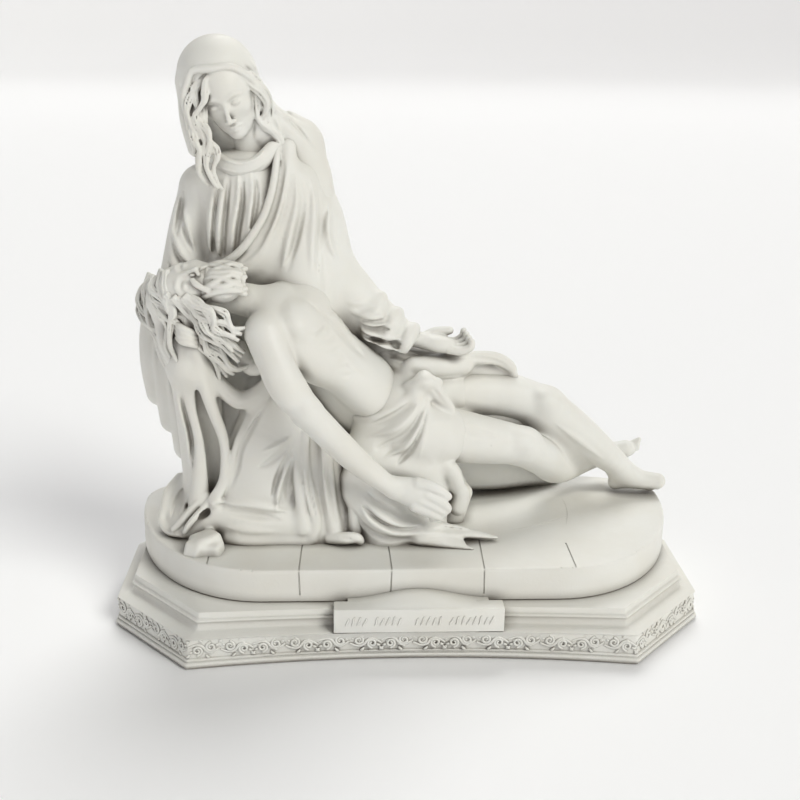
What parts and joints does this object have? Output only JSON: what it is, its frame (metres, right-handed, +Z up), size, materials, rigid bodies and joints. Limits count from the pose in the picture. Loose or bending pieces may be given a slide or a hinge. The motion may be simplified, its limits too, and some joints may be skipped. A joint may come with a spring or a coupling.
{
  "type": "pieta statue",
  "caption": "Devotional statue: a seated veiled mother holds her dead son on a paved slab over a moulded plinth with a name plate, cast in pale marble resin.",
  "frame": {"origin": "middle of the underside, where the plinth rests", "axes": "+Z up, +X to the viewer's right along the long side, -Y is the front with the name plate"},
  "size_m": [0.28, 0.15, 0.2711],
  "materials": {
    "resin": "pale marble-powder resin, dull with a faint sheen, darker in the recesses"
  },
  "bodies": {
    "root": {"plinth": "resin", "name_plate": "resin", "pieta_group": "resin"}
  },
  "joints": []
}
